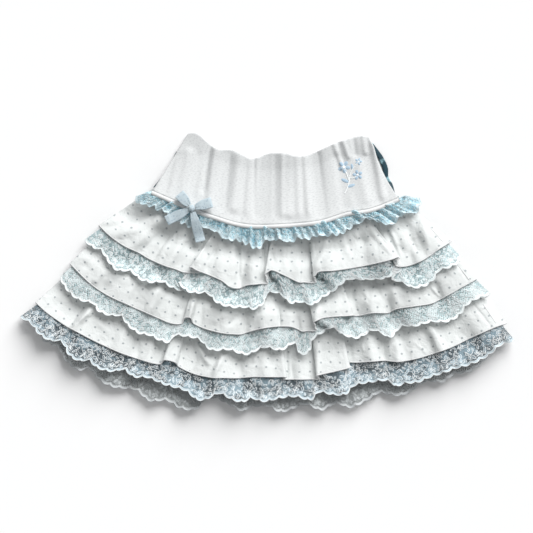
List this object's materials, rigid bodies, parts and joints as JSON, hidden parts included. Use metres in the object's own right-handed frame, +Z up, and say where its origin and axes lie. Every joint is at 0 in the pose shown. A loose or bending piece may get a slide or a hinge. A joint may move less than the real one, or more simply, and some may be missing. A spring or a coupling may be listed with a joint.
{
  "type": "tiered ruffle skirt",
  "caption": "Child's pull-on skirt laid flat: a wide ribbed waistband over gathered tiers, each edged with gathered lace, with a small ribbon bow at the waist.",
  "frame": {"origin": "centre of the bounding box, on the surface that the skirt lies on", "axes": "+Z up from the surface, +Y from the hem towards the waist, +X to the right in the front view"},
  "size_m": [0.5442, 0.307, 0.032],
  "materials": {
    "dotted_cotton": "matt woven cotton with small dots",
    "white_cotton": "matt",
    "heather_jersey": "matt knit",
    "waist_lace": "soft lace",
    "aqua_lace": "soft lace",
    "blue_lace": "soft lace",
    "blue_ribbon": "soft sheen",
    "teal_satin": "satin"
  },
  "bodies": {
    "root": {"waistband_back": "heather_jersey", "waistband_front": "heather_jersey", "waist_piping_back": "white_cotton", "waist_piping_front": "white_cotton", "waist_lace_back": "waist_lace", "waist_lace_front": "waist_lace", "tier_1_back": "dotted_cotton", "tier_1_front": "dotted_cotton", "tier_1_lace_back": "aqua_lace", "tier_1_lace_front": "aqua_lace", "tier_2_back": "dotted_cotton", "tier_2_front": "dotted_cotton", "tier_2_lace_back": "aqua_lace", "tier_2_lace_front": "aqua_lace", "tier_3_back": "dotted_cotton", "tier_3_front": "dotted_cotton", "tier_3_lace_back": "blue_lace", "tier_3_lace_front": "blue_lace", "side_ribbon_right": "teal_satin", "side_ribbon_left": "teal_satin", "bow_loop_left": "blue_ribbon", "bow_loop_right": "blue_ribbon", "bow_knot": "blue_ribbon", "bow_tail_left": "blue_ribbon", "bow_tail_right": "blue_ribbon"}
  },
  "joints": []
}
